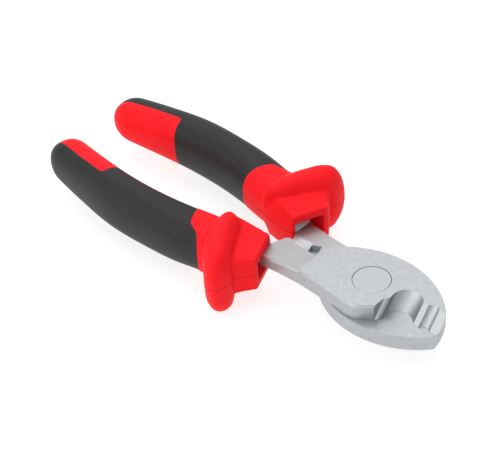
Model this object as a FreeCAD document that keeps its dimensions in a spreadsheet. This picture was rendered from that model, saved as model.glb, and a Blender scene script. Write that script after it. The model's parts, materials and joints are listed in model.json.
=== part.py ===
import FreeCAD, Part
import math
import os
import Sketcher

# Insulated one-hand cable cutter, millimetres. The tool frame has its origin on the pivot at the
# lap plane, x forward to the tip, y to the left, z up. The row frame is the same, moved so that its
# origin lies at the middle of the bottom of the whole tool.

V = FreeCAD.Vector
Z_AXIS = V(0, 0, 1)
X_AXIS = V(1, 0, 0)

# Driving dimensions, one sheet cell each.
SIZES = {
    "pivot_x": 53.05,            # pivot to the middle of the overall length
    "lap_height": 14.0,          # lap plane above the lowest point, half the guard's height
    "plate_thickness": 5.8,      # one blade at the pivot
    "lap_gap": 0.02,             # half of the running gap between the blades
    "jaw_radius": 32.6,          # outer edge of the blades
    "heel_radius": 17.0,         # rear corner of the blades
    "flank_radius": 33.0,        # edge of the blade beside the notch
    "cheek_radius": 8.0,
    "tip_radius": 5.5,
    "throat_radius": 1.7,
    "bevel_run": 5.2,            # sideways run of the cutting bevel over one blade's thickness
    "cable_notch_radius": 5.25,
    "wire_notch_radius": 2.2,
    "nose_radius": 2.6,
    "rivet_head_radius": 6.3,
    "rivet_head_depth": 2.0,
    "rivet_shank_radius": 4.0,
    "running_clearance": 0.08,   # radial, at the turning half's bore
    "head_clearance": 0.14,      # radial, the ring seen around the rivet's head
    "rivet_edge": 0.22,          # bevel on the rim of the rivet's head and tail
    "neck_slope_x": -21.0,       # where the neck starts to thin
    "neck_step": 0.3,            # the neck starts this far below the blade's face
    "neck_edge": 0.8,            # bevel along the neck's outer edge
    "neck_end_x": -44.0,
    "neck_end_height": 2.9,
    "tang_thickness": 6.6,
    "tang_outer_radius": 190.0,
    "tang_inner_radius": 230.0,
    "shoulder_run": 3.4,
    "facet_height": 2.8,
    "relief_depth": 2.4,
    "jaw_edge": 0.3,
    "flank_edge": 0.7,
    "collar_height": 13.2,
    "collar_opening": 7.2,
    "collar_round": 1.3,
    "flange_thickness": 8.0,
    "flange_angle": -33.4,       # the guard's plane, turned from straight across
    "flange_rim": 3.0,
    "flange_front_rim": 2.2,
    "sleeve_thickness": 1.8,
}

# Corners of the right half's blade and neck, seen from above.
BLADE_POINTS = {
    "tip_top": (27.3, 3.55),
    "heel_top": (-17.4, 6.7),
    "heel_low": (-21.7, 0.2),
    "neck_root": (-21.7, -2.6),
    "neck_inner": (-31.0, -1.5),
    "nose_front": (-33.6, -0.4),
    "nose_back": (-36.6, -0.9),
    "neck_inner_end": (-38.9, -6.4),
    "neck_back_inner": (-43.5, -7.6),
    "neck_back_outer": (-43.5, -15.2),
    "neck_outer_end": (-37.6, -13.2),
    "neck_outer": (-30.0, -12.4),
    "flank_back": (-20.8, -11.9),
    "flank_front": (-5.5, -12.6),
    "flank_end": (0.9, -13.35),
    "cheek_start": (6.2, -11.15),
    "cheek": (9.4, -8.5),
    "tip_low": (27.2, -3.6),
}

# Cutting profile of the right half at the lap plane.
NOTCH_POINTS = {
    "notch_out": (8.6, -22.0),
    "notch_wall": (8.6, -9.1),
    "cable_start": (9.85, -7.0),
    "cable_end": (19.3, -2.8),
    "wire_start": (21.45, -3.0),
    "wire_end": (25.45, -2.55),
    "tip_land": (29.5, -1.9),
    "tip_out": (29.5, -22.0),
}

# Tang inside the grip, right half.
TANG_POINTS = {
    "tang_front_inner": (-39.2, -6.5),
    "tang_front_outer": (-37.6, -13.2),
    "tang_outer_start": (-50.0, -18.2),
    "tang_outer_end": (-122.0, -18.9),
    "tang_inner_end": (-122.0, -14.2),
    "tang_inner_start": (-50.0, -9.9),
}

# Collar of the left grip, seen from above.
COLLAR_POINTS = {
    "collar_inner_front": (-39.3, 5.0),
    "collar_outer_front": (-34.3, 18.1),
    "collar_outer_back": (-39.6, 24.2),
    "collar_deep_outer": (-46.0, 25.0),
    "collar_deep_inner": (-55.0, 8.3),
    "collar_inner_back": (-46.0, 5.3),
}
OPENING_POINTS = {
    "opening_front_inner": (-33.0, 6.0),
    "opening_front_outer": (-32.0, 14.9),
    "opening_back_outer": (-43.6, 18.2),
    "opening_back_inner": (-43.6, 6.4),
}

# Guard plate of the left grip in its own plane: across, up.
FLANGE_CORNER = (-39.9, 25.1)
FLANGE_POINTS = {
    "flange_outer": (6.1, 3.5),
    "flange_shoulder": (3.6, 10.3),
    "flange_crown": (-2.5, 14.0),
    "flange_top": (-13.0, 13.6),
    "flange_inner_top": (-20.8, 11.6),
    "flange_inner": (-23.0, 7.8),
}

# Stations of the left grip's outer skin: x, y, half width, half height.
GRIP_STATIONS = [
    ("guard", -46.0, 14.8, 8.8, 9.4),
    ("lip", -58.0, 16.5, 8.6, 9.6),
    ("throat", -68.0, 18.2, 7.9, 10.4),
    ("palm", -80.0, 19.3, 7.3, 10.5),
    ("belly", -96.0, 19.6, 7.4, 10.3),
    ("waist", -113.0, 17.7, 7.1, 9.4),
    ("tail", -126.0, 15.8, 7.2, 8.3),
    ("dome", -131.4, 14.9, 6.1, 6.9),
    ("end", -134.1, 14.5, 3.9, 4.6),
]

# Where red meets black, seen from above: the guard moulding in front, the window at the end. The
# moulding's front runs inside the guard plate.
FRONT_RED_POINTS = {
    "red_front_out": (-33.0, 40.0),
    "red_outer": (-53.6, 40.0),
    "red_outer_skin": (-53.6, 26.0),
    "red_outer_top": (-57.0, 21.6),
    "red_tab_outer": (-61.3, 20.3),
    "red_tab_back": (-62.4, 18.4),
    "red_inner_top": (-65.9, 11.8),
    "red_inner": (-66.7, 0.0),
    "red_front_in": (-59.3, 0.0),
}
WINDOW_POINTS = {
    "window_front_in": (-101.6, 0.0),
    "window_front_low": (-101.8, 12.0),
    "window_front_top": (-103.4, 17.0),
    "window_corner": (-104.6, 19.6),
    "window_mid": (-117.0, 17.9),
    "window_rear": (-138.5, 13.9),
    "window_rear_in": (-138.5, 0.0),
}

# Everything of the handle behind the guard plate's front.
HANDLE_POINTS = {
    "handle_front_out": (-33.0, 40.0),
    "handle_back_out": (-145.0, 40.0),
    "handle_back_in": (-145.0, -5.0),
    "handle_front_in": (-62.6, -5.0),
}

doc = FreeCAD.newDocument("cable_cutter")
sheet = doc.addObject("Spreadsheet::Sheet", "dims")
cells = {}


def add_cell(alias, value):
    """Put one driving dimension into the sheet."""
    row = len(cells) + 1
    cells[alias] = float(value)
    sheet.set("A%d" % row, alias)
    sheet.set("B%d" % row, "%.4f" % value)
    sheet.setAlias("B%d" % row, alias)


def add_points(points):
    for name, (px, py) in points.items():
        add_cell(name + "_x", px)
        add_cell(name + "_y", py)


for size_name, size_value in SIZES.items():
    add_cell(size_name, size_value)
for point_set in (BLADE_POINTS, NOTCH_POINTS, TANG_POINTS, COLLAR_POINTS, OPENING_POINTS,
                  FLANGE_POINTS, FRONT_RED_POINTS, WINDOW_POINTS, HANDLE_POINTS):
    add_points(point_set)
for station, station_x, station_y, half_width, half_height in GRIP_STATIONS:
    add_cell("grip_" + station + "_x", station_x)
    add_cell("grip_" + station + "_y", station_y)
    add_cell("grip_" + station + "_half_width", half_width)
    add_cell("grip_" + station + "_half_height", half_height)
add_cell("flange_corner_x", FLANGE_CORNER[0])
add_cell("flange_corner_y", FLANGE_CORNER[1])
doc.recompute()


def row_placement(turned_over):
    """Place a piece drawn in the tool frame; the other half is the same piece turned over."""
    angle = 180.0 if turned_over else 0.0
    base = V(cells["pivot_x"], 0, cells["lap_height"])
    return FreeCAD.Placement(base, FreeCAD.Rotation(X_AXIS, angle))


def new_body(label, turned_over):
    body = doc.addObject("PartDesign::Body", label)
    body.Label = label
    body.Placement = row_placement(turned_over)
    body.setExpression("Placement.Base.x", "dims.pivot_x")
    body.setExpression("Placement.Base.z", "dims.lap_height")
    return body


def origin_plane(body, role):
    return [item for item in body.Origin.OriginFeatures if item.Role == role][0]


def new_sketch(body, name, role, offset=None):
    sketch = body.newObject("Sketcher::SketchObject", name)
    sketch.AttachmentSupport = (origin_plane(body, role), [""])
    sketch.MapMode = "FlatFace"
    if offset is not None:
        sketch.AttachmentOffset = offset
    return sketch


def bind(sketch, kind, geometry, corner, value, expression):
    """Fix one coordinate of a sketch point to the sheet."""
    index = sketch.addConstraint(Sketcher.Constraint(kind, -1, 1, geometry, corner, value))
    name = "%s_%d" % (kind.lower(), index)
    sketch.renameConstraint(index, name)
    sketch.setExpression("Constraints." + name, expression)


def arc_between(start, end, radius, side):
    """Arc from start to end; side is +1 where it bulges to the left of the way from start to end."""
    chord = end - start
    half = chord.Length / 2.0
    rise = radius - math.sqrt(radius * radius - half * half)
    left = V(-chord.y, chord.x, 0).normalize()
    middle = (start + end) * 0.5 + left * (rise * side)
    return Part.Arc(start, middle, end)


def draw_outline(sketch, steps):
    """Closed outline through named points. A step is a name, or (name, radius alias, side) where an
    arc leads from that point to the next one."""
    names = [step if isinstance(step, str) else step[0] for step in steps]
    corners = [V(cells[name + "_x"], cells[name + "_y"], 0) for name in names]
    count = len(steps)
    for i, step in enumerate(steps):
        start = corners[i]
        end = corners[(i + 1) % count]
        if isinstance(step, str):
            sketch.addGeometry(Part.LineSegment(start, end))
        else:
            sketch.addGeometry(arc_between(start, end, cells[step[1]], step[2]))
    # An arc runs anticlockwise inside a sketch, so its ends swap where it bulges to the right.
    first = []
    last = []
    for step in steps:
        swapped = not isinstance(step, str) and step[2] > 0
        first.append(2 if swapped else 1)
        last.append(1 if swapped else 2)
    for i in range(count):
        following = (i + 1) % count
        sketch.addConstraint(Sketcher.Constraint("Coincident", i, last[i], following, first[following]))
    for i, name in enumerate(names):
        bind(sketch, "DistanceX", i, first[i], corners[i].x, "dims." + name + "_x")
        bind(sketch, "DistanceY", i, first[i], corners[i].y, "dims." + name + "_y")
    for i, step in enumerate(steps):
        if not isinstance(step, str):
            index = sketch.addConstraint(Sketcher.Constraint("Radius", i, cells[step[1]]))
            sketch.renameConstraint(index, "radius_%d" % index)
            sketch.setExpression("Constraints.radius_%d" % index, "dims." + step[1])


def draw_polygon(sketch, corners):
    """Closed polygon; each corner is ((x, expression), (y, expression))."""
    count = len(corners)
    points = [V(x[0], y[0], 0) for x, y in corners]
    for i in range(count):
        sketch.addGeometry(Part.LineSegment(points[i], points[(i + 1) % count]))
    for i in range(count):
        sketch.addConstraint(Sketcher.Constraint("Coincident", i, 2, (i + 1) % count, 1))
    for i, (x, y) in enumerate(corners):
        bind(sketch, "DistanceX", i, 1, x[0], x[1])
        bind(sketch, "DistanceY", i, 1, y[0], y[1])


def draw_circle(sketch, radius, expression):
    sketch.addGeometry(Part.Circle(V(0, 0, 0), Z_AXIS, radius))
    sketch.addConstraint(Sketcher.Constraint("Coincident", 0, 3, -1, 1))
    sketch.addConstraint(Sketcher.Constraint("Radius", 0, radius))
    sketch.renameConstraint(1, "radius")
    sketch.setExpression("Constraints.radius", expression)


def value(alias):
    """A cell's number with the expression that reads it."""
    return cells[alias], "dims." + alias


def number(amount):
    """A plain number with the expression that says it."""
    return amount, "%.4f" % amount


def pad(body, sketch, name, length, expression, side="One side", reversed_way=False):
    feature = body.newObject("PartDesign::Pad", name)
    feature.Profile = (sketch, [""])
    feature.Type = "Length"
    feature.SideType = side
    feature.Reversed = reversed_way
    feature.Length = length
    if expression:
        feature.setExpression("Length", expression)
    doc.recompute()
    return feature


def pocket(body, sketch, name, length, expression, side="One side", reversed_way=False):
    """Cut, and make sure that it removes material."""
    before = body.Shape.Volume
    feature = body.newObject("PartDesign::Pocket", name)
    feature.Profile = (sketch, [""])
    feature.Type = "Length"
    feature.SideType = side
    feature.Reversed = reversed_way
    feature.Length = length
    if expression:
        feature.setExpression("Length", expression)
    doc.recompute()
    if body.Shape.Volume > before - 0.01:
        raise RuntimeError(name + " removed nothing")
    return feature


def slanting_pocket(body, sketch, name, direction, length):
    """Cut along a slanting direction; the length is measured square to the sketch."""
    before = body.Shape.Volume
    feature = body.newObject("PartDesign::Pocket", name)
    feature.Profile = (sketch, [""])
    feature.Type = "Length"
    feature.UseCustomVector = True
    feature.Direction = direction
    feature.AlongSketchNormal = True
    feature.Length = length
    doc.recompute()
    if body.Shape.Volume > before - 1.0:
        raise RuntimeError(name + " removed nothing")
    return feature


def edges_where(shape, test):
    """Names of the edges whose middle point and ends pass the test."""
    found = []
    for i, edge in enumerate(shape.Edges):
        middle = edge.valueAt((edge.FirstParameter + edge.LastParameter) / 2.0)
        if test(edge, middle):
            found.append("Edge%d" % (i + 1))
    return found


def dress(body, kind, name, base, edges, size, expression):
    """Fillet or chamfer."""
    if not edges:
        raise RuntimeError(name + " found no edge")
    feature = body.newObject("PartDesign::" + kind, name)
    feature.Base = (base, edges)
    prop = "Radius" if kind == "Fillet" else "Size"
    setattr(feature, prop, size)
    feature.setExpression(prop, expression)
    body.Tip = feature
    doc.recompute()
    return feature


def make_half(label, turned_over, bore_clearance, head_clearance):
    """One forging: blade with its cutting profile, neck and tang."""
    body = new_body(label, turned_over)

    # Blade and neck, from the lap plane up.
    lift = FreeCAD.Placement(V(0, 0, cells["lap_gap"]), FreeCAD.Rotation())
    outline = new_sketch(body, label + "_outline", "XY_Plane", lift)
    outline.setExpression("AttachmentOffset.Base.z", "dims.lap_gap")
    draw_outline(outline, [
        ("tip_top", "jaw_radius", -1), ("heel_top", "heel_radius", -1), "heel_low", "neck_root",
        "neck_inner", ("nose_front", "nose_radius", -1), "nose_back", "neck_inner_end",
        "neck_back_inner", "neck_back_outer", "neck_outer_end", "neck_outer", "flank_back",
        ("flank_front", "flank_radius", -1), ("flank_end", "cheek_radius", -1), "cheek_start",
        "cheek", ("tip_low", "tip_radius", -1)])
    doc.recompute()
    blade = pad(body, outline, label + "_blade", cells["plate_thickness"] - cells["lap_gap"],
                "dims.plate_thickness - dims.lap_gap")

    # Tang, centred on the lap plane.
    tang_outline = new_sketch(body, label + "_tang_outline", "XY_Plane")
    draw_outline(tang_outline, [
        "tang_front_inner", "tang_front_outer", ("tang_outer_start", "tang_outer_radius", 1),
        "tang_outer_end", ("tang_inner_end", "tang_inner_radius", -1), "tang_inner_start"])
    doc.recompute()
    pad(body, tang_outline, label + "_tang", cells["tang_thickness"], "dims.tang_thickness",
        side="Symmetric")

    # The neck thins from the blade to the collar.
    slope = new_sketch(body, label + "_slope", "XZ_Plane")
    high = number(12.0)
    neck_start = (cells["plate_thickness"] - cells["neck_step"], "dims.plate_thickness - dims.neck_step")
    draw_polygon(slope, [
        (value("neck_slope_x"), neck_start), (value("neck_slope_x"), high),
        (value("neck_end_x"), high), (value("neck_end_x"), value("neck_end_height"))])
    doc.recompute()
    pocket(body, slope, label + "_neck_top", 80.0, None, side="Symmetric")

    # Bevel along the neck's outer edge, which drops and drifts outwards towards the collar.
    edge_offset = FreeCAD.Placement(V(cells["flank_back_y"], 0, cells["neck_slope_x"]), FreeCAD.Rotation())
    neck_corner = new_sketch(body, label + "_neck_corner", "YZ_Plane", edge_offset)
    neck_corner.setExpression("AttachmentOffset.Base.x", "dims.flank_back_y")
    neck_corner.setExpression("AttachmentOffset.Base.z", "dims.neck_slope_x")
    beyond = 0.5
    top = (neck_start[0] + beyond, neck_start[1] + " + 0.5")
    low = (neck_start[0] - cells["neck_edge"] - beyond, neck_start[1] + " - dims.neck_edge - 0.5")
    inside = (cells["neck_edge"] + beyond, "dims.neck_edge + 0.5")
    outside = number(-beyond)
    draw_polygon(neck_corner, [(inside, top), (outside, top), (outside, low)])
    doc.recompute()
    run = V(cells["neck_outer_end_x"] - cells["neck_slope_x"],
            cells["neck_outer_end_y"] - cells["flank_back_y"], 0)
    fall = (neck_start[0] - cells["neck_end_height"]) / (cells["neck_slope_x"] - cells["neck_end_x"])
    run.z = run.x * fall
    slanting_pocket(body, neck_corner, label + "_neck_bevel", run, abs(run.x))

    # Bevelled shoulder under the front of the tang.
    shoulder = new_sketch(body, label + "_shoulder", "XZ_Plane")
    deep = number(-8.0)
    front = number(-30.0)
    draw_polygon(shoulder, [
        (number(-38.9), number(0.0)), (front, number(0.0)), (front, deep),
        ((-38.9 - cells["shoulder_run"], "-38.9 - dims.shoulder_run"), deep),
        ((-38.9 - cells["shoulder_run"], "-38.9 - dims.shoulder_run"),
         (-cells["tang_thickness"] / 2 - 0.1, "-dims.tang_thickness / 2 - 0.1"))])
    doc.recompute()
    pocket(body, shoulder, label + "_shoulder_bevel", 80.0, None, side="Symmetric")

    # Long facet under the neck's inner edge, and the relief in front of it.
    facet_offset = FreeCAD.Placement(V(0, 0, -30.4), FreeCAD.Rotation())
    facet = new_sketch(body, label + "_facet", "YZ_Plane", facet_offset)
    draw_polygon(facet, [
        (number(-5.8), number(0.0)), (number(3.0), number(0.0)),
        (number(3.0), (cells["facet_height"] * 8.8 / 5.4, "dims.facet_height * 8.8 / 5.4"))])
    doc.recompute()
    pocket(body, facet, label + "_neck_facet", 9.0, None)
    relief = new_sketch(body, label + "_relief", "XY_Plane")
    draw_polygon(relief, [
        (number(-30.5), number(3.0)), (number(-30.5), number(-5.2)), (number(-27.4), number(-6.6)),
        (number(-26.3), number(-4.0)), (number(-26.3), number(3.0))])
    doc.recompute()
    pocket(body, relief, label + "_neck_relief", cells["relief_depth"], "dims.relief_depth",
           reversed_way=True)

    # Cutting profile, cut along the slope of the bevel.
    profile = new_sketch(body, label + "_profile", "XY_Plane")
    draw_outline(profile, [
        "notch_out", ("notch_wall", "throat_radius", -1), ("cable_start", "cable_notch_radius", 1),
        "cable_end", ("wire_start", "wire_notch_radius", 1), "wire_end", "tip_land", "tip_out"])
    doc.recompute()
    slope_of_bevel = V(0, cells["bevel_run"], cells["plate_thickness"])
    notch = slanting_pocket(body, profile, label + "_cutting_edge", slope_of_bevel,
                            cells["plate_thickness"] + 1.0)
    notch.setExpression("Length", "dims.plate_thickness + 1")
    notch.setExpression("Direction.y", "dims.bevel_run")
    notch.setExpression("Direction.z", "dims.plate_thickness")
    doc.recompute()

    # Pivot bore with the recess for the rivet's head.
    bore = new_sketch(body, label + "_bore", "XY_Plane")
    draw_circle(bore, cells["rivet_shank_radius"] + bore_clearance[0],
                "dims.rivet_shank_radius + " + bore_clearance[1])
    doc.recompute()
    pocket(body, bore, label + "_pivot_bore", 20.0, None, side="Symmetric")
    top = FreeCAD.Placement(V(0, 0, cells["plate_thickness"]), FreeCAD.Rotation())
    recess = new_sketch(body, label + "_recess", "XY_Plane", top)
    recess.setExpression("AttachmentOffset.Base.z", "dims.plate_thickness")
    draw_circle(recess, cells["rivet_head_radius"] + head_clearance[0],
                "dims.rivet_head_radius + " + head_clearance[1])
    doc.recompute()
    pocket(body, recess, label + "_head_recess",
           cells["rivet_head_depth"] + head_clearance[0] / 2,
           "dims.rivet_head_depth + (" + head_clearance[1] + ") / 2")

    # Bevels around the outer face: small around the jaw, broad along the flank.
    thickness = cells["plate_thickness"]

    def level_with_face(edge):
        return all(abs(vertex.Point.z - thickness) < 1e-4 for vertex in edge.Vertexes)

    def jaw_rim(edge, middle):
        outer = middle.y > 4.6 or middle.x < -8.0 or middle.x > 27.0
        return level_with_face(edge) and outer and middle.x > -20.5 and middle.y > -8.0

    def flank_rim(edge, middle):
        return level_with_face(edge) and middle.y < -10.5 and edge.Length > 1.5

    dress(body, "Chamfer", label + "_jaw_rim", body.Tip, edges_where(body.Tip.Shape, jaw_rim),
          cells["jaw_edge"], "dims.jaw_edge")
    dress(body, "Chamfer", label + "_flank_rim", body.Tip, edges_where(body.Tip.Shape, flank_rim),
          cells["flank_edge"], "dims.flank_edge")
    return body


def make_rivet():
    """Headed shank, peened flush on the other side."""
    body = new_body("pivot_rivet", False)
    sketch = new_sketch(body, "rivet_profile", "XZ_Plane")
    head = value("rivet_head_radius")
    shank = value("rivet_shank_radius")
    top = value("plate_thickness")
    edge = cells["rivet_edge"]
    top_edge = (top[0] - edge, "dims.plate_thickness - dims.rivet_edge")
    rim = (head[0] - edge, "dims.rivet_head_radius - dims.rivet_edge")
    under = (top[0] - cells["rivet_head_depth"], "dims.plate_thickness - dims.rivet_head_depth")
    minus = {
        "top": (-top[0], "-dims.plate_thickness"),
        "edge": (-top_edge[0], "-(dims.plate_thickness - dims.rivet_edge)"),
        "under": (-under[0], "-(dims.plate_thickness - dims.rivet_head_depth)"),
    }
    axis = number(0.0)
    draw_polygon(sketch, [
        (axis, minus["top"]), (rim, minus["top"]), (head, minus["edge"]), (head, minus["under"]),
        (shank, minus["under"]), (shank, under), (head, under), (head, top_edge), (rim, top),
        (axis, top)])
    doc.recompute()
    turn = body.newObject("PartDesign::Revolution", "rivet_turn")
    turn.Profile = (sketch, [""])
    turn.ReferenceAxis = (sketch, ["V_Axis"])
    turn.Angle = 360.0
    doc.recompute()
    return body


def station_offset(index):
    """Frame of one grip section: across the grip and up, square to its run."""
    before = GRIP_STATIONS[max(index - 1, 0)]
    after = GRIP_STATIONS[min(index + 1, len(GRIP_STATIONS) - 1)]
    heading = math.degrees(math.atan2(after[2] - before[2], after[1] - before[1]))
    turn = heading - 180.0 if heading > 0 else heading + 180.0
    name, px, py = GRIP_STATIONS[index][:3]
    return FreeCAD.Placement(V(py, 0, px), FreeCAD.Rotation(V(0, 1, 0), turn))


def grip_loft(label, turned_over, first, last, inset, expression):
    """Skin of the grip through its oval sections, inset for the hard core."""
    body = new_body(label, turned_over)
    sketches = []
    for index in range(first, last + 1):
        name, px, py, half_width, half_height = GRIP_STATIONS[index]
        sketch = new_sketch(body, label + "_" + name, "YZ_Plane", station_offset(index))
        sketch.setExpression("AttachmentOffset.Base.x", "dims.grip_" + name + "_y")
        sketch.setExpression("AttachmentOffset.Base.z", "dims.grip_" + name + "_x")
        tall = half_height - inset
        wide = half_width - inset
        center = V(0, 0, 0)
        sketch.addGeometry(Part.Ellipse(V(0, tall, 0), V(wide, 0, 0), center))
        sketch.exposeInternalGeometry(0)
        sketch.addConstraint(Sketcher.Constraint("Coincident", 0, 3, -1, 1))
        sketch.addConstraint(Sketcher.Constraint("PointOnObject", 1, 1, -2))
        height = sketch.addConstraint(Sketcher.Constraint("Distance", 1, 2 * tall))
        width = sketch.addConstraint(Sketcher.Constraint("Distance", 2, 2 * wide))
        sketch.renameConstraint(height, "height")
        sketch.renameConstraint(width, "width")
        station_cell = "2 * (dims.grip_%s_%s%s)"
        sketch.setExpression("Constraints.height", station_cell % (name, "half_height", expression))
        sketch.setExpression("Constraints.width", station_cell % (name, "half_width", expression))
        sketches.append(sketch)
    doc.recompute()
    loft = body.newObject("PartDesign::AdditiveLoft", label + "_loft")
    loft.Profile = (sketches[0], [""])
    loft.Sections = [(sketch, [""]) for sketch in sketches[1:]]
    loft.Ruled = False
    doc.recompute()
    return body


def make_guard_plate(label, turned_over):
    """Guard plate, square to its own leaning axis, with rounded rims."""
    body = new_body(label, turned_over)
    offset = FreeCAD.Placement(V(FLANGE_CORNER[1], 0, FLANGE_CORNER[0]),
                               FreeCAD.Rotation(V(0, 1, 0), cells["flange_angle"]))
    sketch = new_sketch(body, label + "_outline", "YZ_Plane", offset)
    sketch.setExpression("AttachmentOffset.Base.x", "dims.flange_corner_y")
    sketch.setExpression("AttachmentOffset.Base.z", "dims.flange_corner_x")
    upper = [(value(name + "_x"), value(name + "_y")) for name in FLANGE_POINTS]
    lower = [(x, (-y[0], "-" + y[1])) for x, y in reversed(upper)]
    draw_polygon(sketch, upper + lower)
    doc.recompute()
    plate = pad(body, sketch, label + "_block", cells["flange_thickness"], "dims.flange_thickness",
                reversed_way=True)
    normal = FreeCAD.Rotation(Z_AXIS, cells["flange_angle"]).multVec(X_AXIS)
    corner = V(FLANGE_CORNER[0], FLANGE_CORNER[1], 0)

    def rim_at(distance):
        def test(edge, middle):
            ends = [(vertex.Point - corner).dot(normal) for vertex in edge.Vertexes]
            return all(abs(end - distance) < 1e-3 for end in ends)
        return test

    rear = edges_where(plate.Shape, rim_at(-cells["flange_thickness"]))
    dress(body, "Fillet", label + "_rear_rim", plate, rear, cells["flange_rim"], "dims.flange_rim")
    front = edges_where(body.Tip.Shape, rim_at(0.0))
    dress(body, "Fillet", label + "_front_rim", body.Tip, front, cells["flange_front_rim"],
          "dims.flange_front_rim")
    return body


def make_collar(label, turned_over):
    """Collar around the neck, in front of the guard plate."""
    body = new_body(label, turned_over)
    outline = new_sketch(body, label + "_outline", "XY_Plane")
    draw_outline(outline, list(COLLAR_POINTS))
    doc.recompute()
    block = pad(body, outline, label + "_block", cells["collar_height"], "dims.collar_height",
                side="Symmetric")
    half = cells["collar_height"] / 2

    def level_edge(edge, middle):
        return all(abs(abs(vertex.Point.z) - half) < 1e-4 for vertex in edge.Vertexes)

    dress(body, "Fillet", label + "_round", block, edges_where(block.Shape, level_edge),
          cells["collar_round"], "dims.collar_round")
    return body


def make_prism(label, turned_over, points, height):
    """Upright block over an outline, used to part the two colours."""
    body = new_body(label, turned_over)
    sketch = new_sketch(body, label + "_outline", "XY_Plane")
    draw_outline(sketch, list(points))
    doc.recompute()
    pad(body, sketch, label + "_block", height, None, side="Symmetric")
    return body


def boolean(kind, label, shapes):
    """Part boolean of document objects."""
    feature = doc.addObject("Part::" + kind, label)
    feature.Label = label
    if kind == "Cut":
        feature.Base = shapes[0]
        feature.Tool = shapes[1]
    else:
        feature.Shapes = shapes
    doc.recompute()
    return feature


def make_grip(side, turned_over, half):
    """Hard red core and soft black sleeve of one handle."""
    tall = 60.0
    last = len(GRIP_STATIONS) - 1
    whole_skin = grip_loft(side + "_whole_skin", turned_over, 0, last, 0.0, "")
    inner = grip_loft(side + "_inner", turned_over, 1, last, cells["sleeve_thickness"],
                      " - dims.sleeve_thickness")
    handle_block = make_prism(side + "_handle_block", turned_over, HANDLE_POINTS, tall)
    skin = boolean("MultiCommon", side + "_skin", [whole_skin, handle_block])
    plate = make_guard_plate(side + "_guard_plate", turned_over)
    collar = make_collar(side + "_collar", turned_over)
    front_block = make_prism(side + "_front_block", turned_over, FRONT_RED_POINTS, tall)
    window_block = make_prism(side + "_window_block", turned_over, WINDOW_POINTS, tall)
    opening = make_prism(side + "_opening", turned_over, OPENING_POINTS, cells["collar_opening"])
    front_red = boolean("MultiCommon", side + "_front_red", [skin, front_block])
    window_red = boolean("MultiCommon", side + "_window_red", [skin, window_block])
    red_blocks = [inner, front_red, window_red, plate, collar]
    solid_core = boolean("MultiFuse", side + "_solid_core", red_blocks)
    bored_core = boolean("Cut", side + "_bored_core", [solid_core, opening])
    core = boolean("Cut", side + "_grip_core", [bored_core, half])
    sleeve = boolean("Cut", side + "_grip_sleeve", [skin, solid_core])
    return core, sleeve


turning = ((cells["running_clearance"], "dims.running_clearance"),
           (cells["head_clearance"], "dims.head_clearance"))
fixed = ((0.0, "0"), (0.0, "0"))
upper_half = make_half("upper_half", False, turning[0], turning[1])
lower_half = make_half("lower_half", True, fixed[0], fixed[1])
rivet = make_rivet()
# The left grip is drawn on the left; the right grip is the same moulding turned over.
left_core, left_sleeve = make_grip("left", False, lower_half)
right_core, right_sleeve = make_grip("right", True, upper_half)

sub_parts = [upper_half, lower_half, rivet, left_core, left_sleeve, right_core, right_sleeve]
doc.recompute()
for item in doc.Objects:
    if "Invalid" in item.State or "Error" in item.State:
        raise RuntimeError(item.Label + " failed: " + ", ".join(item.State))
os.makedirs("parts", exist_ok=True)
for item in sub_parts:
    if item.Shape.isNull() or not item.Shape.isValid():
        raise RuntimeError(item.Label + " has no valid shape")
    item.Shape.exportStep("parts/" + item.Label + ".step")
    box = item.Shape.BoundBox
    print("%-20s solids %d volume %8.1f  x %.2f %.2f  y %.2f %.2f  z %.2f %.2f" % (
        item.Label, len(item.Shape.Solids), item.Shape.Volume,
        box.XMin, box.XMax, box.YMin, box.YMax, box.ZMin, box.ZMax))
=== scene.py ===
import json
import math
from contextlib import contextmanager

import bmesh
import bpy
import numpy as np
from mathutils import Matrix, Vector

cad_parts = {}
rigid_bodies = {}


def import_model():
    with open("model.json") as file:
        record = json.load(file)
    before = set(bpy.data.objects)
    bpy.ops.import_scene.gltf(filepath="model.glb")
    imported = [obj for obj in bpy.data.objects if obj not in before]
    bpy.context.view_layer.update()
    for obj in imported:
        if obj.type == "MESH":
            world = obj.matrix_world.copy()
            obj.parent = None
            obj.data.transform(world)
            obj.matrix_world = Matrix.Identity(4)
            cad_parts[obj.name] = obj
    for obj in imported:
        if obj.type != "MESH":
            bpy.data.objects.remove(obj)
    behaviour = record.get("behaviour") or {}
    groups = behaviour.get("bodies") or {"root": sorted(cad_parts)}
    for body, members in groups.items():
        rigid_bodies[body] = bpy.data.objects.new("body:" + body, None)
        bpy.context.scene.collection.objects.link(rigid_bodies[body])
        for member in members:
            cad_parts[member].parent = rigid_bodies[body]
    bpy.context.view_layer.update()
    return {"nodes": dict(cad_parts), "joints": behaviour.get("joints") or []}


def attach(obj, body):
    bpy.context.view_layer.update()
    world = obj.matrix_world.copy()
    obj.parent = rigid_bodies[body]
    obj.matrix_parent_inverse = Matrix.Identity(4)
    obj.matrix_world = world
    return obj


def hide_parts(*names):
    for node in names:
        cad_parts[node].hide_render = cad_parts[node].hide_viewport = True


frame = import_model()

# Lengths are in millimetres in the tool frame: origin on the pivot at the lap plane, x forward to
# the tip, y to the left, z up. place() turns them into the row frame in metres. Angles are in degrees.
MM = 0.001
PIVOT = Vector(frame["joints"][0]["pos_m"])
LEFT_BODY = frame["joints"][0]["parent"]
RIGHT_BODY = frame["joints"][0]["child"]

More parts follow.
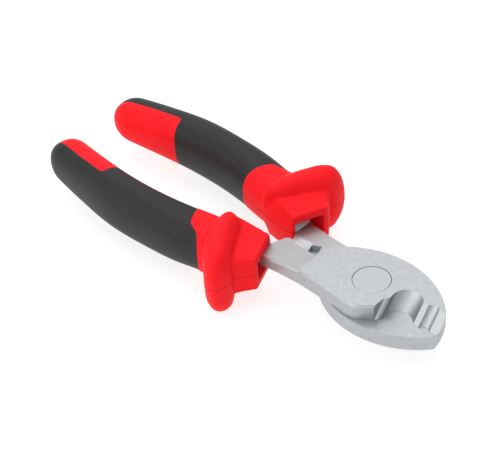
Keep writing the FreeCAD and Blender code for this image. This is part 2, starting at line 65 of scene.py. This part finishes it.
# Grip sections: x, y, half width, half height.
GRIP_STATIONS = [
    (-40.0, 13.6, 8.2, 9.2),
    (-48.0, 15.1, 8.9, 9.5),
    (-58.0, 16.5, 8.6, 9.4),
    (-68.0, 18.4, 8.1, 10.2),
    (-80.0, 19.6, 7.6, 10.5),
    (-96.0, 19.9, 7.7, 10.2),
    (-113.0, 18.0, 7.4, 9.3),
    (-126.0, 15.9, 7.3, 8.2),
    (-134.4, 14.4, 7.1, 7.4),
]
GRIP_DOME = 8.5                # length of the rounded end
DOME_TURN = 88.0               # part of the quarter circle that the rounded end uses
DOME_POWER = 0.82              # 1 is a round end, less is blunter
DOME_RINGS = 26
SECTION_POWER = 2.35           # 2 is an ellipse, more is boxier
GRIP_RINGS = 150
GRIP_SIDES = 112
SKIN_FROM = -44.0              # front end of the skin that the sleeve and the window are cut from
GUARD_SKIN_FROM = -42.0        # front end of the round body behind the guard plate
GUARD_PROUD = 0.18             # how far that body stands proud of the sleeve

# Guard plate: its corner, the way across it and the way back from it, seen from above. Then its
# outline above and below the lap plane, in its own plane: across, up.
PLATE_CORNER = (-39.9, 25.1)
PLATE_ACROSS = (0.55, 0.835)
PLATE_BACK = (-0.835, 0.55)
PLATE_ABOVE = [(6.2, 0.0), (5.9, 4.5), (4.8, 9.0), (2.4, 12.6), (-1.8, 13.6), (-6.5, 13.2),
               (-12.0, 12.7), (-17.0, 12.0), (-20.4, 10.8), (-22.4, 8.0), (-23.1, 4.2), (-23.3, 0.0)]
PLATE_BELOW = [(-23.0, -4.0), (-21.9, -7.6), (-20.6, -10.8), (-18.6, -13.3), (-16.0, -13.7),
               (-12.0, -13.7), (-6.5, -13.6), (-1.8, -13.1), (2.0, -11.2), (4.4, -7.8), (5.8, -3.8)]
# Depths by place across the plate: front, crest that runs around the rim, back.
PLATE_DEPTHS = [(-24.0, -1.6, 1.9, 5.6), (-19.0, -1.6, 2.4, 6.4), (-10.0, -1.1, 3.2, 9.0),
                (-3.0, -1.1, 3.7, 8.8), (3.0, -1.6, 3.7, 7.8), (7.0, -1.6, 3.7, 7.2)]
# How the slopes from the crest bulge, at the plate's sides and above: 2 is round, 1 is straight.
FRONT_BULGE = (1.3, 2.15)
BACK_BULGE = (1.9, 1.9)
RIM_SIDE = 5.0                 # how far in the slopes reach at the sides
RIM_TOP = 6.2                  # and above and below
PLATE_SIDES = 96
SLOPE_STEP = 10                # turn between one ring of a slope and the next
# The round body begins a little behind the plate's front; its cutter reaches well past the guard.
BODY_DEPTH = 2.5
BODY_CUT_ENDS = (22.0, -38.0)
BODY_CUT_BACK = -72.0

# Collar sections from its mouth to inside the guard plate, seen from above: inner corner, outer
# corner. Then heights above the lap plane and below it at the inner side and at the outer side, and
# how far the inner side leans back above and below.
COLLAR_SECTIONS = [
    ((-39.3, 5.0), (-34.3, 18.1), (6.4, -7.2), (6.4, -6.6), (1.0, 0.6)),
    ((-45.8, 5.2), (-37.2, 21.4), (7.3, -7.9), (6.8, -6.9), (2.2, 1.0)),
    ((-49.8, 5.5), (-38.9, 23.6), (7.9, -8.6), (7.1, -7.2), (3.1, 1.3)),
    ((-53.0, 6.2), (-40.3, 25.2), (8.2, -9.6), (7.3, -7.4), (3.6, 1.6)),
    ((-57.0, 9.0), (-44.0, 26.2), (8.2, -8.4), (7.5, -7.5), (2.5, 1.5)),
]
COLLAR_DRAFT = 0.3             # how far the outer side leans in above and below
COLLAR_KNEE = (0.5, 0.3)       # at this share of its height the inner side has this share of its lean
# Opening in the collar's mouth that the neck comes out of, seen from above.
COLLAR_OPENING = [(-30.0, 6.1), (-30.0, 15.3), (-43.6, 18.2), (-43.6, 6.4)]
COLLAR_OPENING_HEIGHT = 7.3
COLLAR_OPENING_CORNER = 0.8    # radius of its corners

# Where red meets black at the guard and around the end window, seen from above.
FRONT_RED = [(-36.0, 44.0), (-53.6, 44.0), (-53.6, 26.6), (-54.4, 24.8), (-57.4, 21.4), (-61.4, 20.2),
             (-62.4, 18.4), (-65.6, 12.0), (-66.7, 9.0), (-66.7, 0.0), (-30.0, 0.0)]
FRONT_CORNER = 1.6             # radius of its corners
WINDOW_RED = [(-101.5, 0.0), (-101.7, 11.5), (-102.8, 13.8), (-103.3, 16.4), (-103.9, 19.5),
              (-106.5, 19.3), (-117.0, 17.9), (-127.0, 16.2), (-140.0, 13.6), (-140.0, 0.0)]
WINDOW_CORNER = 1.1            # radius of its corners
WINDOW_LEAN = -0.13            # sideways shift of the window's edge for each millimetre up
CUTTER_REACH = 30.0            # half height of a cutter that passes right through the grip
CORNER_STEPS = 5               # points along one rounded corner
CORNER_SHARE = 0.45            # most of a side that one rounded corner may take
SEAM_EDGE = 0.28               # rounding along the seam between red and black
SEAM_SHARP = 50.0              # edges sharper than this are rounded
GRIP_CREASE = 35.0             # edges sharper than this don't shade smooth
GUARD_FROM = -0.02             # row x behind which no red piece has a parting line, in metres
GUARD_VOXEL = 0.3              # size of the guard's faces
GUARD_BLUR = 0.5               # how far one round of smoothing moves a point to its neighbours' middle
GUARD_BLURS = 20
PARTING_DEPTH = 0.1            # groove where the halves of the guard's mould met

STEEL_EDGE = 0.13              # broken edges of the forgings
STEEL_SHARP = 28.0             # edges sharper than this are broken
STEEL_CREASE = 32.0            # edges sharper than this don't shade smooth
FLAT_WITHIN = 0.6              # faces that turn less than this are one flat face
HEAD_FROM = 5.0                # radius beyond which the rivet is its head
HEAD_GROWTH = 0.09             # narrows the hairline around the rivet's head
BEVEL_TILT = 0.667             # upward part of the cutting bevels' normal

CAD_SEAM = 0.002               # points of the CAD mesh closer than this are one point
SLIVER = 0.05                  # the same for points left by a cut
SPECK = 0.004                  # the same for points left by rounding the edges

# Studio, in metres.
FLOOR_REACH = 6.0
FLOOR_LEVEL = -0.0003
FLOOR_GREY = 0.3
FLOOR_GLOW = 0.78
SKY = 0.56
WHITE = (1.0, 1.0, 1.0, 1.0)
# Square lights that face the tool: name, position, width, watts.
LIGHTS = [
    ("top", (-0.2, 0.1, 1.2), 1.1, 7.2),
    ("back", (-0.66, 0.58, 0.62), 1.0, 1.6),
    ("left", (-0.52, -0.78, 0.5), 1.0, 3.0),
    ("front", (0.25, -0.75, 0.7), 1.0, 2.0),
]

# Camera: where it stands around its target, which is a place in the tool frame.
CAMERA_AZIMUTH = 44.02
CAMERA_ELEVATION = 40.29
CAMERA_ROLL = -4.03
CAMERA_DISTANCE = 592.27
CAMERA_TARGET = (-53.39, -0.66, 0.0)
CAMERA_LENS = 126.13
CAMERA_SENSOR = 36.0
CAMERA_CLIP = (0.01, 50.0)     # nearest and farthest things that show, in metres


def place(points, turned):
    """Tool frame in millimetres to the row frame in metres; the right grip is the left turned over."""
    out = np.array(points, float)
    if turned:
        out = out * np.array([1.0, -1.0, -1.0])
    return out * MM + np.array(PIVOT)


def make_object(name, points, faces):
    mesh = bpy.data.meshes.new(name)
    mesh.from_pydata([tuple(p) for p in points], [], [tuple(f) for f in faces])
    mesh.update()
    obj = bpy.data.objects.new(name, mesh)
    bpy.context.scene.collection.objects.link(obj)
    return obj


@contextmanager
def editing(obj):
    """Open the object's mesh for edits and store it afterwards."""
    work = bmesh.new()
    work.from_mesh(obj.data)
    yield work
    work.to_mesh(obj.data)
    work.free()


def outward(obj):
    """Make every face look outwards."""
    with editing(obj) as work:
        bmesh.ops.recalc_face_normals(work, faces=work.faces)
    return obj


def vertex_values(mesh, field):
    """The vertices' co or normal as rows of three numbers."""
    values = np.empty(len(mesh.vertices) * 3)
    mesh.vertices.foreach_get(field, values)
    return values.reshape(-1, 3)


def move_vertices(mesh, points):
    mesh.vertices.foreach_set("co", points.ravel())
    mesh.update()


def apply_modifiers(obj):
    """Keep the modified mesh as the object's own."""
    bpy.context.view_layer.update()
    graph = bpy.context.evaluated_depsgraph_get()
    mesh = bpy.data.meshes.new_from_object(obj.evaluated_get(graph))
    obj.modifiers.clear()
    obj.data = mesh
    return obj


def boolean(obj, tool, operation):
    step = obj.modifiers.new("boolean", "BOOLEAN")
    step.operation = operation
    step.solver = "EXACT"
    step.object = tool
    return apply_modifiers(obj)


def merge_slivers(obj, reach):
    """Join the points that lie almost on top of each other and close up the faces between them."""
    with editing(obj) as work:
        bmesh.ops.remove_doubles(work, verts=work.verts, dist=reach)
        bmesh.ops.dissolve_degenerate(work, edges=work.edges, dist=reach / 5)


def take_in(obj, others):
    """Add the others' faces to this mesh; a voxel remesh afterwards melts them into one skin."""
    with editing(obj) as work:
        for source in others:
            work.from_mesh(source.data)


def discard(*objs):
    for obj in objs:
        bpy.data.objects.remove(obj)


def duplicate(obj, name):
    copy = bpy.data.objects.new(name, obj.data.copy())
    bpy.context.scene.collection.objects.link(copy)
    return copy


def smooth_shading(obj, degrees):
    bpy.context.view_layer.objects.active = obj
    for other in bpy.context.selected_objects:
        other.select_set(False)
    obj.select_set(True)
    bpy.ops.object.shade_smooth_by_angle(angle=math.radians(degrees))


def curve_through(stations, at):
    """Smooth curve through rows of numbers; the first column is the parameter."""
    table = np.array(stations, float)
    keys = table[:, 0]
    order = np.argsort(keys)
    keys = keys[order]
    values = table[order, 1:]
    slopes = np.gradient(values, keys, axis=0)
    at = np.clip(at, keys[0], keys[-1])
    right = np.clip(np.searchsorted(keys, at), 1, len(keys) - 1)
    left = right - 1
    span = keys[right] - keys[left]
    t = ((at - keys[left]) / span)[:, None]
    span = span[:, None]
    start = (2 * t ** 3 - 3 * t ** 2 + 1) * values[left] + (t ** 3 - 2 * t ** 2 + t) * span * slopes[left]
    end = (3 * t ** 2 - 2 * t ** 3) * values[right] + (t ** 3 - t ** 2) * span * slopes[right]
    return start + end


def loft(name, rings):
    """Closed mesh through rings of equal point counts, capped at both ends."""
    count = len(rings[0])
    points = np.concatenate(rings)
    faces = []
    for r in range(len(rings) - 1):
        for i in range(count):
            j = (i + 1) % count
            faces.append((r * count + i, r * count + j, (r + 1) * count + j, (r + 1) * count + i))
    faces.append(tuple(range(count - 1, -1, -1)))
    base = (len(rings) - 1) * count
    faces.append(tuple(range(base, base + count)))
    return outward(make_object(name, points, faces))


def grip_rings(front, proud):
    """Sections of the grip's skin from a place near the guard to the rounded end."""
    back = GRIP_STATIONS[-1][0]
    dome_start = back + GRIP_DOME
    straight = np.linspace(front, dome_start, GRIP_RINGS, endpoint=False)
    turn = np.linspace(0.0, math.radians(DOME_TURN), DOME_RINGS)
    dome = dome_start - GRIP_DOME * np.sin(turn)
    at = np.concatenate([straight, dome])
    closing = np.concatenate([np.ones(len(straight)), np.cos(turn) ** DOME_POWER])
    values = curve_through(GRIP_STATIONS, at)
    slope = np.gradient(values[:, 0], at)
    angles = np.linspace(0.0, 2 * math.pi, GRIP_SIDES, endpoint=False)
    power = 2.0 / SECTION_POWER
    across = np.sign(np.cos(angles)) * np.abs(np.cos(angles)) ** power
    up = np.sign(np.sin(angles)) * np.abs(np.sin(angles)) ** power
    rings = []
    for i, x in enumerate(at):
        middle, half_width, half_height = values[i]
        lean = -slope[i] / math.hypot(1.0, slope[i])
        straight_across = 1.0 / math.hypot(1.0, slope[i])
        width = (half_width + proud) * closing[i]
        height = (half_height + proud) * closing[i]
        ring = np.stack([x + across * width * lean, middle + across * width * straight_across,
                         up * height], axis=1)
        rings.append(ring)
    return rings


def rounded_outline(corners, radius):
    """Closed outline with its corners rounded."""
    points = [np.array(c, float) for c in corners]
    out = []
    for i, corner in enumerate(points):
        before = points[i - 1] - corner
        after = points[(i + 1) % len(points)] - corner
        reach = min(radius, CORNER_SHARE * np.linalg.norm(before), CORNER_SHARE * np.linalg.norm(after))
        start = corner + before / np.linalg.norm(before) * reach
        end = corner + after / np.linalg.norm(after) * reach
        for t in np.linspace(0.0, 1.0, CORNER_STEPS):
            out.append((1 - t) ** 2 * start + 2 * t * (1 - t) * corner + t ** 2 * end)
    return np.array(out)


def prism(name, corners, half_height, radius, lean=0.0):
    """Upright cutter with a plan outline, which may shift sideways on its way up."""
    outline = rounded_outline(corners, radius) if radius else np.array(corners, float)
    shift = np.array([0.0, lean * half_height])
    low = np.column_stack([outline - shift, np.full(len(outline), -half_height)])
    high = np.column_stack([outline + shift, np.full(len(outline), half_height)])
    return loft(name, [low, high])


def closed_curve(corners, count):
    """Smooth closed curve through the corners."""
    loop = np.array(corners, float)
    gaps = np.linalg.norm(np.roll(loop, -1, axis=0) - loop, axis=1)
    keys = np.cumsum(gaps) - gaps
    around = gaps.sum()
    three_rounds = np.concatenate([keys - around, keys, keys + around])
    at = np.linspace(0.0, around, count, endpoint=False)
    return curve_through(np.column_stack([three_rounds, np.tile(loop, (3, 1))]), at)


def from_plate(across, depth):
    """Plan place, or places, at a distance across the guard plate and a depth behind it."""
    x = PLATE_CORNER[0] + across * PLATE_ACROSS[0] + depth * PLATE_BACK[0]
    y = PLATE_CORNER[1] + across * PLATE_ACROSS[1] + depth * PLATE_BACK[1]
    return x, y


def behind_plate(depth):
    """Plan outline of everything that lies at least this deep behind the guard plate's front."""
    outer, inner = [from_plate(across, depth) for across in BODY_CUT_ENDS]
    return [outer, (BODY_CUT_BACK, outer[1]), (BODY_CUT_BACK, inner[1]), inner]


def guard_plate():
    """Guard plate: a crest around the rim, with slopes to the front and the back."""
    outline = closed_curve(PLATE_ABOVE + PLATE_BELOW, PLATE_SIDES)
    tangent = np.roll(outline, -1, axis=0) - np.roll(outline, 1, axis=0)
    normal = np.column_stack([tangent[:, 1], -tangent[:, 0]])
    normal = normal / np.linalg.norm(normal, axis=1)[:, None]
    upward = np.abs(normal[:, 1])
    reach = RIM_SIDE + (RIM_TOP - RIM_SIDE) * upward
    front, crest, back = range(3)
    slopes = [(degrees, FRONT_BULGE, front) for degrees in range(0, 91, SLOPE_STEP)]
    slopes += [(degrees, BACK_BULGE, back) for degrees in range(90 - SLOPE_STEP, -1, -SLOPE_STEP)]
    rings = []
    for degrees, bulge, side in slopes:
        turn = math.radians(degrees)
        power = bulge[0] + (bulge[1] - bulge[0]) * upward
        inset = reach * (1 - math.sin(turn) ** (2 / power))
        flat = outline - normal * inset[:, None]
        depths = curve_through(PLATE_DEPTHS, flat[:, 0])
        foot = depths[:, side]
        depth = foot + (depths[:, crest] - foot) * (1 - math.cos(turn) ** (2 / power))
        x, y = from_plate(flat[:, 0], depth)
        rings.append(np.column_stack([x, y, flat[:, 1]]))
    return loft("plate", rings)


def collar():
    """Boxy collar around the neck, flaring into the guard plate."""
    knee_height, knee_lean = COLLAR_KNEE
    rings = []
    for inner, outer, inner_heights, outer_heights, leans in COLLAR_SECTIONS:
        above, below = [[(outer[0], outer[1] - COLLAR_DRAFT, outer_height),
                         (inner[0], inner[1] + lean, inner_height),
                         (inner[0], inner[1] + lean * knee_lean, inner_height * knee_height)]
                        for inner_height, outer_height, lean in zip(inner_heights, outer_heights, leans)]
        rings.append(np.array([*reversed(below), (*outer, 0.0), *above, (*inner, 0.0)]))
    return loft("collar", rings)


def press_parting_line(obj):
    """Sink the row of points at mid height a little: the groove where the mould's halves met."""
    points = vertex_values(obj.data, "co")
    normals = vertex_values(obj.data, "normal")
    row = np.abs(points[:, 2]) < GUARD_VOXEL / 2
    points[row] -= normals[row] * PARTING_DEPTH
    points[row, 2] = 0.0
    move_vertices(obj.data, points)


def round_edges(obj, width, degrees):
    """Round every edge that is sharper than the angle."""
    step = obj.modifiers.new("edges", "BEVEL")
    step.width = width
    step.segments = 2
    step.limit_method = "ANGLE"
    step.angle_limit = math.radians(degrees)
    step.use_clamp_overlap = True
    step.harden_normals = False
    return apply_modifiers(obj)


def flat_faces_flat(obj):
    """Let the broad faces set the normals, so that they shade flat up to their rounded edges."""
    step = obj.modifiers.new("normals", "WEIGHTED_NORMAL")
    step.mode = "FACE_AREA"
    step.weight = 100
    step.keep_sharp = True
    return apply_modifiers(obj)


def grip_pieces():
    """The left grip's pieces in the tool frame: guard moulding, end window and sleeve."""
    skin = loft("skin", grip_rings(SKIN_FROM, 0.0))
    front = prism("front", FRONT_RED, CUTTER_REACH, FRONT_CORNER)
    window = prism("window", WINDOW_RED, CUTTER_REACH, WINDOW_CORNER, WINDOW_LEAN)
    sleeve = duplicate(skin, "sleeve")
    boolean(sleeve, front, "DIFFERENCE")
    boolean(sleeve, window, "DIFFERENCE")
    end = duplicate(skin, "end")
    boolean(end, window, "INTERSECT")

    body = loft("guard", grip_rings(GUARD_SKIN_FROM, GUARD_PROUD))
    keep = prism("keep", behind_plate(BODY_DEPTH), CUTTER_REACH, 0.0)
    boolean(body, keep, "INTERSECT")
    plate = guard_plate()
    block = collar()
    take_in(body, (plate, block))
    remesh = body.modifiers.new("remesh", "REMESH")
    remesh.mode = "VOXEL"
    remesh.voxel_size = GUARD_VOXEL
    blur = body.modifiers.new("blur", "SMOOTH")
    blur.factor = GUARD_BLUR
    blur.iterations = GUARD_BLURS
    apply_modifiers(body)
    press_parting_line(body)
    boolean(body, front, "INTERSECT")
    hole = prism("hole", COLLAR_OPENING, COLLAR_OPENING_HEIGHT / 2, COLLAR_OPENING_CORNER)
    boolean(body, hole, "DIFFERENCE")
    discard(skin, front, window, keep, plate, block, hole)
    for piece in (sleeve, end, body):
        merge_slivers(piece, SLIVER)
        round_edges(piece, SEAM_EDGE, SEAM_SHARP)
    merge_slivers(body, SPECK)
    return body, end, sleeve


def widen_head(rivet):
    """Move the rivet's rim outwards, which narrows the hairline around it."""
    for vertex in rivet.data.vertices:
        arm = Vector((vertex.co.x - PIVOT.x, vertex.co.y - PIVOT.y))
        if arm.length > HEAD_FROM * MM:
            grown = arm * (1.0 + HEAD_GROWTH * MM / arm.length)
            vertex.co.x = PIVOT.x + grown.x
            vertex.co.y = PIVOT.y + grown.y


def forging(node, name):
    """The CAD piece with its sharp edges broken, as a blasted forging has them."""
    piece = duplicate(frame["nodes"][node], name)
    with editing(piece) as work:
        bmesh.ops.remove_doubles(work, verts=work.verts, dist=CAD_SEAM * MM)
        bmesh.ops.dissolve_limit(work, angle_limit=math.radians(FLAT_WITHIN), verts=work.verts,
                                 edges=work.edges)
    if node == "pivot_rivet":
        widen_head(piece)
    round_edges(piece, STEEL_EDGE * MM, STEEL_SHARP)
    merge_slivers(piece, SPECK * MM)
    return piece


class Shading:
    """A Principled material with helpers for the procedural nodes in front of it."""

    def __init__(self, name):
        self.material = bpy.data.materials.new(name)
        self.material.use_nodes = True
        self.tree = self.material.node_tree
        self.shader = self.tree.nodes["Principled BSDF"]
        self.where = self.tree.nodes.new("ShaderNodeTexCoord")

    def link(self, source, target):
        self.tree.links.new(source, target)

    def math(self, operation, first, second):
        """Arithmetic on two items, each a number or another node's value."""
        node = self.tree.nodes.new("ShaderNodeMath")
        node.operation = operation
        for socket, item in zip(node.inputs, (first, second)):
            if isinstance(item, (int, float)):
                socket.default_value = item
            else:
                self.link(item, socket)
        return node.outputs[0]

    def stretched(self, scale):
        """Object coordinates multiplied by a scale for each axis."""
        node = self.tree.nodes.new("ShaderNodeMapping")
        node.inputs["Scale"].default_value = scale
        self.link(self.where.outputs["Object"], node.inputs["Vector"])
        return node.outputs["Vector"]

    def noise(self, scale, detail, vector=None):
        """Noise over the vector, or else over the object's own coordinates in metres."""
        node = self.tree.nodes.new("ShaderNodeTexNoise")
        node.inputs["Scale"].default_value = scale
        node.inputs["Detail"].default_value = detail
        node.inputs["Roughness"].default_value = 0.6
        self.link(vector or self.where.outputs["Object"], node.inputs["Vector"])
        return node.outputs["Fac"]

    def ramp(self, value, stops):
        """Colours by value; stops are (position, colour)."""
        node = self.tree.nodes.new("ShaderNodeValToRGB")
        band = node.color_ramp
        for element, (position, colour) in zip(band.elements, (stops[0], stops[-1])):
            element.position = position
            element.color = (*colour, 1.0)
        for position, colour in stops[1:-1]:
            band.elements.new(position).color = (*colour, 1.0)
        self.link(value, node.inputs["Fac"])
        return node.outputs["Color"]

    def between(self, value, low, high):
        """Spread a noise value, which is mostly 0.25 to 0.75, over a range."""
        node = self.tree.nodes.new("ShaderNodeMapRange")
        node.inputs["From Min"].default_value = 0.25
        node.inputs["From Max"].default_value = 0.75
        node.inputs["To Min"].default_value = low
        node.inputs["To Max"].default_value = high
        self.link(value, node.inputs["Value"])
        return node.outputs["Result"]

    def near(self, value, level, reach):
        """1 where the value is at the level, falling to 0 at the reach."""
        gap = self.math("ABSOLUTE", self.math("SUBTRACT", value, level), 0.0)
        share = self.math("DIVIDE", gap, reach)
        node = self.tree.nodes.new("ShaderNodeClamp")
        self.link(self.math("SUBTRACT", 1.0, share), node.inputs["Value"])
        return node.outputs["Result"]

    def part_of(self, vector, axis):
        """One of a vector's X, Y and Z."""
        node = self.tree.nodes.new("ShaderNodeSeparateXYZ")
        self.link(vector, node.inputs["Vector"])
        return node.outputs[axis]

    def mix(self, share, first, second, blend="MIX"):
        """Blend two colours; the share of the second is a number or another node's value."""
        node = self.tree.nodes.new("ShaderNodeMix")
        node.data_type = "RGBA"
        node.blend_type = blend
        if isinstance(share, float):
            node.inputs["Factor"].default_value = share
        else:
            self.link(share, node.inputs["Factor"])
        for name, item in (("A", first), ("B", second)):
            socket = [i for i in node.inputs if i.name == name and i.type == "RGBA"][0]
            if isinstance(item, tuple):
                socket.default_value = (*item, 1.0)
            else:
                self.link(item, socket)
        return [o for o in node.outputs if o.type == "RGBA"][0]

    def bump(self, height, strength, distance, base=None):
        """Normal over a height, on top of a base normal if there is one."""
        node = self.tree.nodes.new("ShaderNodeBump")
        node.inputs["Strength"].default_value = strength
        node.inputs["Distance"].default_value = distance
        self.link(height, node.inputs["Height"])
        if base:
            self.link(base, node.inputs["Normal"])
        return node.outputs["Normal"]

    def finish(self, colour, roughness, normal):
        """Connect all three and return the material."""
        self.link(colour, self.shader.inputs["Base Color"])
        self.link(roughness, self.shader.inputs["Roughness"])
        self.link(normal, self.shader.inputs["Normal"])
        return self.material


def red_plastic():
    """Satin red moulding with a faint grain and its parting line at mid height."""
    look = Shading("red_plastic")
    grain = look.noise(scale=2600.0, detail=3.0)
    cloud = look.noise(scale=120.0, detail=2.0)
    height = look.part_of(look.where.outputs["Object"], "Z")
    in_front = look.math("GREATER_THAN", look.part_of(look.where.outputs["Object"], "X"), GUARD_FROM)
    parting = look.math("MULTIPLY", look.near(height, PIVOT.z, reach=0.00016), in_front)
    colour = look.ramp(cloud, [(0.3, (0.87, 0.0090, 0.0150)), (0.7, (0.94, 0.0115, 0.0185))])
    colour = look.mix(look.math("MULTIPLY", parting, 0.55), colour, (0.30, 0.001, 0.003))
    look.shader.inputs["Specular IOR Level"].default_value = 0.10
    grained = look.bump(grain, strength=0.10, distance=0.00012)
    raised = look.math("SUBTRACT", 1.0, parting)
    normal = look.bump(raised, strength=0.5, distance=0.00012, base=grained)
    return look.finish(colour, look.between(grain, low=0.46, high=0.6), normal)


def black_rubber():
    """Satin black grip with a fine grain and paler specks."""
    look = Shading("black_rubber")
    grain = look.noise(scale=3400.0, detail=4.0)
    specks = look.noise(scale=1500.0, detail=1.0)
    colour = look.ramp(specks, [(0.35, (0.008, 0.008, 0.0085)), (0.64, (0.012, 0.012, 0.0125)),
                                (0.80, (0.034, 0.034, 0.035))])
    look.shader.inputs["Specular IOR Level"].default_value = 0.36
    normal = look.bump(grain, strength=0.25, distance=0.00015)
    return look.finish(colour, look.between(grain, low=0.44, high=0.60), normal)


def satin_steel():
    """Blasted steel; the cutting bevels are smoother, with fine grinding lines across the edge and a
    lighter colour that is a painted highlight.
    """
    look = Shading("satin_steel")
    tilt = look.part_of(look.where.outputs["Normal"], "Z")
    # Mask of the faces tilted like the cutting bevels: their grinding lines, smoother finish and painted
    # highlight.
    bevel_finish_and_highlight = look.near(look.math("ABSOLUTE", tilt, 0.0), BEVEL_TILT, reach=0.05)
    lines = look.noise(scale=1.0, detail=2.0, vector=look.stretched((5200.0, 260.0, 260.0)))
    blasted = look.noise(scale=4200.0, detail=3.0)
    cloud = look.noise(scale=650.0, detail=4.0)
    colour = look.ramp(cloud, [(0.3, (0.420, 0.438, 0.454)), (0.7, (0.490, 0.510, 0.526))])
    pits = look.ramp(blasted, [(0.30, (0.72, 0.72, 0.72)), (0.45, (1.0, 1.0, 1.0))])
    speckled = look.mix(0.6, colour, pits, blend="MULTIPLY")
    # The bevels' lighter colour is a painted highlight, on top of their real smoother grinding finish.
    colour = look.mix(bevel_finish_and_highlight, speckled, (0.475, 0.503, 0.524))
    look.shader.inputs["Metallic"].default_value = 1.0
    grain = look.bump(blasted, strength=0.16, distance=0.00010)
    ground_lines = look.math("MULTIPLY", lines, bevel_finish_and_highlight)
    normal = look.bump(ground_lines, strength=0.30, distance=0.00008, base=grain)
    rough = look.between(blasted, low=0.38, high=0.52)
    smoother = look.math("MULTIPLY", bevel_finish_and_highlight, 0.06)
    return look.finish(colour, look.math("SUBTRACT", rough, smoother), normal)


def rivet_steel():
    """Rivet head, faced on a lathe: fine rings around its middle."""
    look = Shading("rivet_steel")
    offset = look.tree.nodes.new("ShaderNodeVectorMath")
    offset.operation = "SUBTRACT"
    offset.inputs[1].default_value = (PIVOT.x, PIVOT.y, 0.0)
    look.link(look.where.outputs["Object"], offset.inputs[0])
    rings = look.tree.nodes.new("ShaderNodeTexWave")
    rings.wave_type = "RINGS"
    rings.rings_direction = "Z"
    rings.inputs["Scale"].default_value = 900.0
    rings.inputs["Distortion"].default_value = 1.2
    look.link(offset.outputs["Vector"], rings.inputs["Vector"])
    blasted = look.noise(scale=4200.0, detail=3.0)
    colour = look.ramp(blasted, [(0.3, (0.455, 0.474, 0.490)), (0.6, (0.525, 0.546, 0.563))])
    look.shader.inputs["Metallic"].default_value = 1.0
    grain = look.bump(blasted, strength=0.14, distance=0.00010)
    normal = look.bump(rings.outputs["Fac"], strength=0.12, distance=0.00006, base=grain)
    return look.finish(colour, look.between(blasted, low=0.52, high=0.64), normal)


def paint(obj, material):
    obj.data.materials.clear()
    obj.data.materials.append(material)


def show_grips(red, black):
    """Both grips: the left one's pieces, and the same turned over for the right."""
    guard, end_window, sleeve = grip_pieces()
    looks = {"guard": (guard, red, "red_plastic"),
             "end_window": (end_window, red, "red_plastic"),
             "sleeve": (sleeve, black, "black_rubber")}
    for side, turned, body_name in (("left", False, LEFT_BODY), ("right", True, RIGHT_BODY)):
        for part, (source, material, slot) in looks.items():
            piece = duplicate(source, side + "_" + part)
            move_vertices(piece.data, place(vertex_values(piece.data, "co"), turned))
            paint(piece, material)
            smooth_shading(piece, GRIP_CREASE)
            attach(piece, body_name)
        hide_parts(side + "_grip_core")
        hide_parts(side + "_grip_sleeve")
    discard(guard, end_window, sleeve)


def show_steel(blade_look, rivet_look):
    """The two forgings and the rivet."""
    for node, name, body_name, material, slot in (
            ("upper_half", "upper_forging", RIGHT_BODY, blade_look, "blade_steel"),
            ("lower_half", "lower_forging", LEFT_BODY, blade_look, "blade_steel"),
            ("pivot_rivet", "rivet", LEFT_BODY, rivet_look, "rivet_steel")):
        piece = forging(node, name)
        paint(piece, material)
        smooth_shading(piece, STEEL_CREASE)
        flat_faces_flat(piece)
        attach(piece, body_name)
        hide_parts(node)


def add_floor():
    """Pale plain floor that glows a little, so that it stays white around the soft shadow."""
    signs = ((-1, -1), (1, -1), (1, 1), (-1, 1))
    corners = [(x * FLOOR_REACH, y * FLOOR_REACH, FLOOR_LEVEL) for x, y in signs]
    floor = make_object("floor", corners, [range(4)])
    look = Shading("floor_white")
    look.shader.inputs["Base Color"].default_value = (FLOOR_GREY, FLOOR_GREY, FLOOR_GREY, 1.0)
    look.shader.inputs["Roughness"].default_value = 0.95
    look.shader.inputs["Emission Color"].default_value = WHITE
    look.shader.inputs["Emission Strength"].default_value = FLOOR_GLOW
    paint(floor, look.material)


def add_sky():
    world = bpy.data.worlds.new("studio")
    world.use_nodes = True
    world.node_tree.nodes["Background"].inputs["Color"].default_value = WHITE
    world.node_tree.nodes["Background"].inputs["Strength"].default_value = SKY
    bpy.context.scene.world = world


def add_light(name, position, width, watts):
    data = bpy.data.lights.new(name, "AREA")
    data.shape = "SQUARE"
    data.size = width
    data.energy = watts
    light = bpy.data.objects.new(name, data)
    light.location = position
    light.rotation_euler = (-Vector(position)).to_track_quat("-Z", "Y").to_euler()
    bpy.context.scene.collection.objects.link(light)


def add_camera():
    """Camera on a sphere around its target, rolled about its own line of sight."""
    azimuth = math.radians(CAMERA_AZIMUTH)
    elevation = math.radians(CAMERA_ELEVATION)
    roll = math.radians(CAMERA_ROLL)
    back = Vector((math.cos(elevation) * math.cos(azimuth), -math.cos(elevation) * math.sin(azimuth),
                   math.sin(elevation)))
    right = (-back).cross(Vector((0.0, 0.0, 1.0))).normalized()
    up = right.cross(-back)
    turned_right = right * math.cos(roll) + up * math.sin(roll)
    turned_up = up * math.cos(roll) - right * math.sin(roll)
    target = Vector(CAMERA_TARGET) * MM + PIVOT
    spot = target + back * CAMERA_DISTANCE * MM
    matrix = Matrix((turned_right, turned_up, back)).transposed().to_4x4()
    matrix.translation = spot
    data = bpy.data.cameras.new("camera")
    data.lens = CAMERA_LENS
    data.sensor_width = CAMERA_SENSOR
    data.clip_start, data.clip_end = CAMERA_CLIP
    camera = bpy.data.objects.new("camera", data)
    camera.matrix_world = matrix
    bpy.context.scene.collection.objects.link(camera)
    bpy.context.scene.camera = camera


show_grips(red_plastic(), black_rubber())
show_steel(satin_steel(), rivet_steel())
add_floor()
add_sky()
for light in LIGHTS:
    add_light(*light)
add_camera()
bpy.context.scene.view_settings.view_transform = "Standard"
